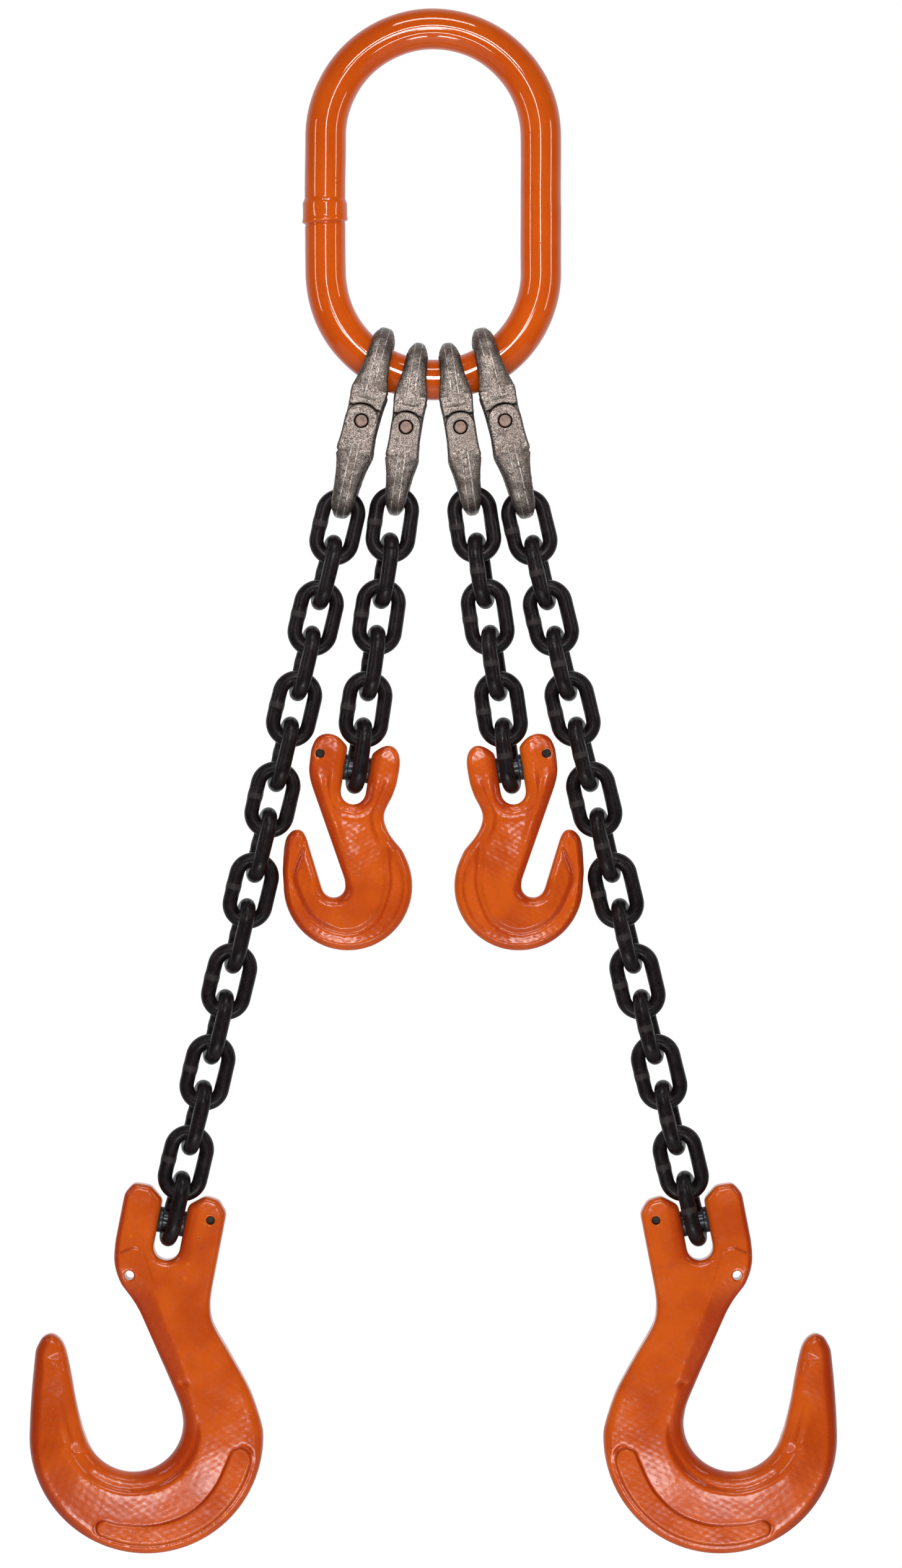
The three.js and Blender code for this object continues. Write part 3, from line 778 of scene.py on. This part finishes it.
class Finish:
    """A new material and the places in mm on the piece that wears it. Pieces of one shape get
    different noise, because it is moved by a number of each piece's own."""

    def __init__(self, name):
        self.material = bpy.data.materials.new(name)
        self.material.use_nodes = True
        self.tree = self.material.node_tree
        self.shader = self.tree.nodes["Principled BSDF"]
        t = self.tree
        coords = add_node(t, "ShaderNodeTexCoord").outputs["Object"]
        place = add_node(t, "ShaderNodeVectorMath", {0: coords, "Scale": 1 / MM},
                         operation="SCALE").outputs[0]
        own = add_node(t, "ShaderNodeObjectInfo").outputs["Random"]
        shift = calc(t, "MULTIPLY", own, NOISE_SHIFT)
        moved = add_node(t, "ShaderNodeVectorMath", {0: place, 1: shift}, operation="ADD")
        self.where = moved.outputs[0]
        split = add_node(t, "ShaderNodeSeparateXYZ", {0: place})
        self.x, self.y, self.z = split.outputs
        # How sharp the shape is here: 0.5 on a flat, more on an edge and less in a crease.
        self.sharp = add_node(t, "ShaderNodeNewGeometry").outputs["Pointiness"]

    def calc(self, *args, **kwargs):
        return calc(self.tree, *args, **kwargs)

    def scaled(self, *args):
        return scaled(self.tree, *args)

    def noise(self, *args, **kwargs):
        return noise(self.tree, self.where, *args, **kwargs)

    def blend(self, *args):
        return blend(self.tree, *args)

    def bumped(self, *args):
        return bumped(self.tree, *args)

    def done(self, color, roughness, normal, **values):
        links = {"Base Color": color, "Roughness": roughness, "Normal": normal}
        for key, socket in links.items():
            self.tree.links.new(socket, self.shader.inputs[key])
        for key, value in values.items():
            self.shader.inputs[key.replace("_", " ")].default_value = value
        return self.material


def orange_paint(name, base, dark, light, forging, chips, smoothest, roughest, gloss, side_shade):
    """Gloss paint over a forging: orange peel, pits and chips down to dark steel, a painted shade
    of deep red in the creases, and lighter orange on the edges, partly thin paint and partly a
    painted highlight. forging is the height in mm of the forging's waves, chips how much of the
    edges is chipped, and the paint's roughness lies between smoothest and roughest. gloss is how
    strongly it reflects, and side_shade how much painted shade, a deeper red, lies on the faces
    turned to -x, a hook's open side, as if they were lit from +x."""
    f = Finish(name)
    broad = f.noise(34, 2.0)
    patches = f.noise(5.5, 4.0, 0.6)
    speckle = f.noise(0.9, 2.0)
    color = f.blend(f.scaled(broad, 0.35, 0.68, 0.0, 0.45), base, dark)
    color = f.blend(f.scaled(patches, 0.5, 0.78, 0.0, 0.25), color, dark)
    # How far the face is turned to +x. Faces turned to -x get a painted shade, a deeper red, as if
    # lit from +x.
    facing = add_node(f.tree, "ShaderNodeTexCoord").outputs["Normal"]
    turned = add_node(f.tree, "ShaderNodeSeparateXYZ", {0: facing}).outputs[0]
    color = f.blend(f.scaled(turned, 0.0, -0.42, 0.0, side_shade), color, dark)
    # Lighter orange on sharp edges, partly thin paint and partly a painted highlight, and a painted
    # shade of deep red in the creases.
    color = f.blend(f.scaled(f.sharp, 0.515, 0.58, 0.0, 0.75), color, light)
    color = f.blend(f.scaled(f.sharp, 0.49, 0.43, 0.0, 0.8), color, (0.33, 0.018, 0.003))
    color = f.blend(f.scaled(speckle, 0.56, 0.72, 0.0, 0.22), color, light)
    # Small dark pits.
    cells = add_node(f.tree, "ShaderNodeTexVoronoi", {"Vector": f.where, "Scale": 1 / 3.4})
    pit = f.scaled(cells.outputs["Distance"], 0.16, 0.05)
    pit = f.calc("MULTIPLY", pit, f.scaled(f.noise(11), 0.5, 0.62))
    color = f.blend(f.calc("MULTIPLY", pit, 0.55), color, (0.16, 0.016, 0.01))
    # Chips on the edges.
    edge = f.scaled(f.sharp, 0.53, 0.62)
    chip = f.calc("MULTIPLY", edge, f.scaled(f.noise(2.3, 5.0, 0.65), 0.62 - chips, 0.66 - chips))
    color = f.blend(f.calc("MULTIPLY", chip, 0.85), color, (0.10, 0.052, 0.036))
    roughness = f.scaled(patches, 0.3, 0.75, smoothest, roughest)
    roughness = f.calc("ADD", roughness, f.calc("MULTIPLY", chip, 0.3))
    normal = f.bumped(f.noise(14.0, 2.0), forging)
    normal = f.bumped(f.noise(2.8, 2.0, 0.5), 0.6 * forging, normal)
    normal = f.bumped(speckle, 0.1 * forging, normal)
    normal = f.bumped(f.calc("MAXIMUM", pit, chip), -0.12, normal)
    return f.done(color, roughness, normal, Specular_IOR_Level=gloss)


def forged_steel():
    """Bare shot-blasted forging: dark and bright grain, brown stains and a bright line along the
    ridges where the dies parted."""
    f = Finish("bare_forged_steel")
    grain = f.noise(0.62, 3.0, 0.7)
    blotch = f.noise(2.6, 4.0, 0.65)
    stain = f.noise(11.0, 3.0)
    color = f.blend(f.scaled(grain, 0.34, 0.68), (0.024, 0.018, 0.015), (0.38, 0.32, 0.285))
    color = f.blend(f.scaled(blotch, 0.48, 0.72, 0.0, 0.6), color, (0.040, 0.030, 0.026))
    color = f.blend(f.scaled(stain, 0.5, 0.7, 0.0, 0.35), color, (0.11, 0.068, 0.048))
    # The ridges, which stop at the lugs.
    away = f.calc("ABSOLUTE", f.calc("SUBTRACT", f.calc("ABSOLUTE", f.x), 2.3))
    waver = f.calc("MULTIPLY", f.calc("SUBTRACT", f.noise(5.0), 0.5), 1.1)
    ridge = f.scaled(f.calc("ADD", away, waver), 0.55, 0.1)
    ridge = f.calc("MULTIPLY", ridge, f.scaled(f.z, 15.0, 17.0))
    ridge = f.calc("MULTIPLY", ridge, f.scaled(f.noise(3.0), 0.36, 0.55))
    color = f.blend(f.calc("MULTIPLY", ridge, 0.7), color, (0.66, 0.60, 0.55))
    # Painted highlight and painted shade: lighter on sharp edges and near black in the creases.
    color = f.blend(f.scaled(f.sharp, 0.53, 0.62, 0.0, 0.7), color, (0.55, 0.49, 0.44))
    color = f.blend(f.scaled(f.sharp, 0.48, 0.41, 0.0, 0.9), color, (0.025, 0.018, 0.015))
    roughness = f.scaled(grain, 0.3, 0.75, 0.5, 0.27)
    normal = f.bumped(blotch, 0.14)
    normal = f.bumped(grain, 0.11, normal)
    normal = f.bumped(ridge, 0.12, normal)
    return f.done(color, roughness, normal, Metallic=0.9)


def black_chain():
    """Black satin lacquer over drawn wire, greyer over the weld and worn bright where the links
    bear on each other."""
    f = Finish("black_chain_lacquer")
    fine = f.noise(0.8, 3.0, 0.6)
    broad = f.noise(6.0, 3.0)
    color = f.blend(f.scaled(broad, 0.35, 0.7), (0.0070, 0.0040, 0.0048), (0.0130, 0.0080, 0.0090))
    color = f.blend(f.scaled(fine, 0.58, 0.74, 0.0, 0.5), color, (0.036, 0.026, 0.027))
    across = f.calc("ADD", f.z, f.calc("MULTIPLY", f.calc("SUBTRACT", f.noise(3.0), 0.5), 1.6))
    weld = f.scaled(f.calc("ABSOLUTE", across), 2.6, 1.2)
    weld = f.calc("MULTIPLY", weld, f.scaled(f.x, 0.0, -5.0))
    color = f.blend(f.calc("MULTIPLY", weld, 0.8), color, (0.042, 0.032, 0.032))
    # Inside the bends: the sides stay away from x = 0 and the crowns from z = 0.
    bend = f.calc("MULTIPLY", f.scaled(f.calc("ABSOLUTE", f.x), 5.0, 1.5),
                  f.scaled(f.calc("ABSOLUTE", f.z), 19.5, 17.5))
    bend = f.calc("MULTIPLY", bend, f.scaled(f.noise(1.4, 4.0), 0.38, 0.55))
    color = f.blend(f.calc("MULTIPLY", bend, 0.8), color, (0.24, 0.205, 0.185))
    roughness = f.scaled(f.noise(2.4, 3.0), 0.3, 0.72, 0.27, 0.45)
    roughness = f.calc("ADD", roughness, f.calc("MULTIPLY", weld, 0.12))
    normal = f.bumped(broad, 0.07)
    normal = f.bumped(fine, 0.02, normal)
    normal = f.bumped(f.noise(1.7, 2.0), 0.03, normal)
    return f.done(color, roughness, normal, Specular_IOR_Level=0.22)


def turned_steel(name, dark, light, low, high, metallic, ring, depth):
    """A turned and heat-treated pin or collar about x: tool rings on its ends and round its
    side, stains, and lighter edges. ring is how far apart the tool marks are and depth how deep, in
    mm."""
    f = Finish(name)
    squares = [f.calc("MULTIPLY", side, side) for side in (f.y, f.z)]
    radius = f.calc("SQRT", f.calc("ADD", *squares))
    along = f.calc("MULTIPLY", f.calc("ADD", radius, f.x), 2 * math.pi / ring)
    marks = f.calc("ADD", f.calc("MULTIPLY", f.calc("SINE", along), 0.5), 0.5)
    stain = f.noise(2.8, 4.0, 0.6)
    fine = f.noise(0.5, 3.0, 0.6)
    color = f.blend(f.scaled(stain, 0.36, 0.68), dark, light)
    color = f.blend(f.scaled(fine, 0.55, 0.75, 0.0, 0.5), color, light)
    worn = tuple(min(1.0, 1.9 * c + 0.03) for c in light)
    color = f.blend(f.scaled(f.sharp, 0.54, 0.64, 0.0, 0.75), color, worn)
    roughness = f.scaled(stain, 0.3, 0.72, low, high)
    normal = f.bumped(marks, depth)
    normal = f.bumped(fine, 3 * depth, normal)
    return f.done(color, roughness, normal, Metallic=metallic)


ORANGE_BAR = orange_paint("orange_gloss_paint_bar", (0.66, 0.096, 0.004), (0.54, 0.058, 0.002),
                          (0.80, 0.150, 0.008), 0.006, 0.0, 0.04, 0.08, 0.55, 0.0)
ORANGE_HOOK = orange_paint("orange_gloss_paint_hook", (0.74, 0.112, 0.007), (0.44, 0.033, 0.004),
                           (0.82, 0.175, 0.012), 0.11, 0.05, 0.15, 0.26, 0.4, 0.75)
FORGED = forged_steel()
CHAIN = black_chain()
PIN = turned_steel("pin_steel", (0.12, 0.072, 0.054), (0.24, 0.16, 0.125), 0.34, 0.52, 0.5, 0.5,
                   0.003)
COLLAR = turned_steel("dark_blued_steel", (0.022, 0.027, 0.036), (0.036, 0.042, 0.052), 0.24, 0.32,
                      0.3, 1.2, 0.0004)
# The retaining pins are near black, a painted shade for the shade in the holes they sit in.
SUNK_PIN = turned_steel("sunk_pin_painted_shade", (0.010, 0.007, 0.006), (0.022, 0.015, 0.012), 0.5, 0.7,
                        0.0, 0.4, 0.002)


# ---------------------------------------------------------------- assembly

Y = Vector((0, 1, 0))
# Each leg's side, -1 for left and 1 for right, and how many links it has.
LEGS = {"leg1": (-1, 16), "leg2": (-1, 6), "leg3": (1, 6), "leg4": (1, 16)}
OUTER_LEGS = ("leg1", "leg4")


def add_piece(name, mesh, material, matrix, body, node_name=None):
    piece = bpy.data.objects.new(name, mesh)
    bpy.context.scene.collection.objects.link(piece)
    if not mesh.materials:
        mesh.materials.append(material)
    piece.matrix_world = matrix
    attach(piece, body)
    if node_name:
        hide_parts(node_name)


def add_coupling(leg, meshes):
    upper, lower = f"{leg}_coupling_upper", f"{leg}_coupling_lower"
    pin = pivot(lower)
    up = (pivot(upper) - pin).normalized()
    x_axis = axis(upper) * math.copysign(1, axis(upper).x)
    upper_place = placed(pin, x_axis, up.cross(x_axis), up)
    add_piece(f"{upper}_forging", meshes["half"], FORGED, upper_place, upper, upper)
    down = (pivot(f"{leg}_link_01") - pin).normalized()
    lower_place = placed(pin, (-Y).cross(down), -Y, down)
    add_piece(f"{lower}_forging", meshes["half"], FORGED, lower_place, lower, lower)
    across = placed(pin, Y, up.cross(Y), up)
    add_piece(f"{leg}_coupling_pin", meshes["pin"], PIN, across, upper)
    add_piece(f"{leg}_coupling_sleeve", meshes["sleeve"], FORGED, across, upper)


def add_chain(leg, count, meshes):
    names = [f"{leg}_link_{i:02d}" for i in range(1, count + 1)]
    for i, (name, below) in enumerate(zip(names, [*names[1:], f"{leg}_hook"])):
        up = (pivot(name) - pivot(below)).normalized()
        y_axis = axis(name)
        # All links face the same way, with their welds on the left or at the back.
        if y_axis.y + 0.01 * y_axis.x < 0:
            y_axis = -y_axis
        place = placed(middle(name), y_axis.cross(up), y_axis, up)
        add_piece(f"{name}_steel", meshes[i % len(meshes)], CHAIN, place, name, name)


def add_hook(leg, side, meshes):
    hook = f"{leg}_hook"
    x_axis = axis(hook) * math.copysign(1, axis(hook).x)
    up = x_axis.cross(Y)
    place = placed(pivot(hook), x_axis, Y, up)
    if side > 0:
        place = place @ Matrix.Rotation(math.pi, 4, "Z")
    add_piece(f"{hook}_forging", meshes["hook"], ORANGE_HOOK, place, hook, hook)
    add_piece(f"{hook}_load_pin", meshes["load_pin"], COLLAR, place, hook)
    for label, mesh in zip(("left", "right"), meshes["collars"]):
        add_piece(f"{hook}_collar_{label}", mesh, COLLAR, place, hook)
    _, x, z = meshes["retainer"]
    shift = Matrix.Translation(Vector((x, 0, z)) * MM)
    across = place @ shift @ Matrix.Rotation(math.pi / 2, 4, "Z")
    add_piece(f"{hook}_retaining_pin", meshes["retaining_pin"], SUNK_PIN, across, hook)


def coupling_meshes(label, reach, lug_r):
    half_pin = OUTER_FACE - PIN_INSET
    half_sleeve = INNER_FACE - LUG_THICKNESS - SLEEVE_GAP
    pin = rounded_rod(-half_pin, half_pin, COUPLING_PIN_R, 0.5, dish=0.15)
    sleeve = rounded_rod(-half_sleeve, half_sleeve, SLEEVE_R, 0.8, COUPLING_PIN_R + PIN_GAP)
    return {
        "half": coupling_mesh(f"coupling_half_{label}", reach, lug_r),
        "pin": turned_mesh(f"coupling_pin_{label}", pin),
        "sleeve": turned_mesh(f"coupling_sleeve_{label}", sleeve),
    }


def hook_meshes(label, field, box, step, slot, ears, half, retainer):
    """The meshes of one kind of hook. slot is the slot's radius, ears where the load pin ends, half
    the retaining pin's half length and retainer its hole."""
    low, high = box
    bore = LOAD_PIN_R + PIN_GAP
    profile = [(slot + 0.2, bore), (slot + 0.2, COLLAR_R - 0.4), (slot - 0.2, COLLAR_R),
               (COLLAR_FACE + 0.6, COLLAR_R), (COLLAR_FACE + 0.15, COLLAR_R - 0.2),
               (COLLAR_FACE, COLLAR_R - 0.6), (COLLAR_FACE, bore)]
    collars = [
        turned_mesh(f"{label}_collar_left", [(-x, r) for x, r in profile]),
        turned_mesh(f"{label}_collar_right", profile),
    ]
    return {
        "hook": solid_mesh(f"{label}_forging", field, low, high, step),
        "load_pin": turned_mesh(f"{label}_load_pin", rounded_rod(*ears, LOAD_PIN_R, 0.9, dish=0.4)),
        "collars": collars,
        "retaining_pin": turned_mesh(
            f"{label}_retaining_pin",
            rounded_rod(-half, half, retainer[0] - RETAINER_GAP, 0.4, dish=0.3)),
        "retainer": retainer,
    }


def build():
    centre = Vector((0, 0, -MASTER_INSIDE_LENGTH / 2))
    upright = placed(centre, Vector((1, 0, 0)), Y, Vector((0, 0, 1)))
    add_piece("master_link_bar", master_link_mesh(), ORANGE_BAR, upright, "master_link",
              "master_link")
    links = [chain_link_mesh(v) for v in range(LINK_VARIANTS)]
    outer_coupling = coupling_meshes("outer", *OUTER_COUPLING)
    inner_coupling = coupling_meshes("inner", *INNER_COUPLING)
    foundry = hook_meshes("foundry_hook", foundry_field, FOUNDRY_BOX, FOUNDRY_STEP,
                          FOUNDRY_SLOT_R, FOUNDRY_PIN, FOUNDRY_RETAINER_HALF, FOUNDRY_RETAINER)
    grab = hook_meshes("grab_hook", grab_field, GRAB_BOX, GRAB_STEP,
                       GRAB_SLOT_R, GRAB_PIN, GRAB_RETAINER_HALF, GRAB_RETAINER)
    for leg, (side, count) in LEGS.items():
        outer = leg in OUTER_LEGS
        add_coupling(leg, outer_coupling if outer else inner_coupling)
        add_chain(leg, count, links)
        add_hook(leg, side, foundry if outer else grab)


build()


# ---------------------------------------------------------------- studio

SKY_FRONT = 0.07  # how bright the world is in front of the sling
SKY_BACK = 0.95  # and behind it
FLOOR_DROP = 0.6  # from the sling's lowest place down to the floor, in metres
FLOOR_SIDE = 2.2  # how far it reaches to the sides and to the front
FLOOR_BACK = 1.5


def add_light(name, location, target, size, power):
    """A rectangle of light that the camera does not see."""
    data = bpy.data.lights.new(name, "AREA")
    data.shape = "RECTANGLE"
    data.size, data.size_y = size
    data.energy = power
    lamp = bpy.data.objects.new(name, data)
    bpy.context.scene.collection.objects.link(lamp)
    lamp.location = location
    lamp.visible_camera = False
    towards = Vector(target) - Vector(location)
    lamp.rotation_euler = towards.to_track_quat("-Z", "Y").to_euler()


def add_floor():
    """A pale floor below the sling and the low lights, out of the front view."""
    f = Finish("pale_floor")
    color = f.blend(f.noise(60), (0.76, 0.76, 0.75), (0.82, 0.82, 0.81))
    f.done(color, f.scaled(f.noise(25), 0.3, 0.7, 0.55, 0.7), f.bumped(f.noise(3.0), 0.05))
    mesh = bpy.data.meshes.new("floor")
    z = cad_low.z - FLOOR_DROP
    corners = [
        (-FLOOR_SIDE, -FLOOR_SIDE, z),
        (FLOOR_SIDE, -FLOOR_SIDE, z),
        (FLOOR_SIDE, FLOOR_BACK, z),
        (-FLOOR_SIDE, FLOOR_BACK, z),
    ]
    mesh.from_pydata(corners, [], [(0, 1, 2, 3)])
    mesh.materials.append(f.material)
    floor = bpy.data.objects.new("floor", mesh)
    bpy.context.scene.collection.objects.link(floor)


def add_world():
    """White to the camera. To the object it is dim in front and bright behind, like the pale
    backdrop of a studio."""
    world = bpy.data.worlds.new("studio")
    world.use_nodes = True
    tree = world.node_tree
    tree.nodes.clear()
    way = add_node(tree, "ShaderNodeTexCoord").outputs["Generated"]
    back = add_node(tree, "ShaderNodeSeparateXYZ", {0: way}).outputs[1]
    strength = scaled(tree, back, -0.1, 0.65, SKY_FRONT, SKY_BACK)
    lit = add_node(tree, "ShaderNodeBackground",
                   {"Color": (0.95, 0.97, 1, 1), "Strength": strength})
    seen = add_node(tree, "ShaderNodeBackground", {"Color": (1, 1, 1, 1)})
    path = add_node(tree, "ShaderNodeLightPath")
    mix = add_node(tree, "ShaderNodeMixShader",
                   {0: path.outputs["Is Camera Ray"], 1: lit.outputs[0], 2: seen.outputs[0]})
    add_node(tree, "ShaderNodeOutputWorld", {"Surface": mix.outputs[0]})
    bpy.context.scene.world = world


def add_camera():
    """A long lens in front of the sling, level with its middle."""
    data = bpy.data.cameras.new("camera")
    data.lens = 135
    data.sensor_width = 36
    camera = bpy.data.objects.new("camera", data)
    bpy.context.scene.collection.objects.link(camera)
    camera.location = (0.0115, -3.822, -0.4774)
    camera.rotation_euler = (math.radians(90), 0, 0)
    data.clip_start, data.clip_end = 0.05, 50
    bpy.context.scene.camera = camera


add_world()
add_floor()
add_light("top_strip", (0, -0.62, 0.85), (0, 0, 0), (0.6, 0.15), 3.8)
add_light("left_strip", (-0.80, -0.45, -0.1), (-0.05, 0, -0.1), (0.09, 0.5), 1.1)
add_light("right_strip", (0.80, -0.45, -0.1), (0.05, 0, -0.1), (0.09, 0.5), 1.1)
add_light("bar_strip", (0, -1.3, -0.06), (0, 0, -0.06), (0.10, 0.36), 2.0)
add_light("coupling_strip", (0, -0.34, -0.17), (0, 0, -0.3), (0.22, 0.035), 0.35)
add_light("front_key", (0, -3.3, 0.75), (0, 0, -0.45), (1.1, 0.16), 18)
add_light("low_left", (-0.25, -1.2, -1.34), (-0.2, 0, -0.92), (0.30, 0.22), 3.6)
add_light("low_right", (0.25, -1.2, -1.34), (0.2, 0, -0.92), (0.30, 0.22), 3.6)
add_camera()
bpy.context.scene.view_settings.view_transform = "Standard"
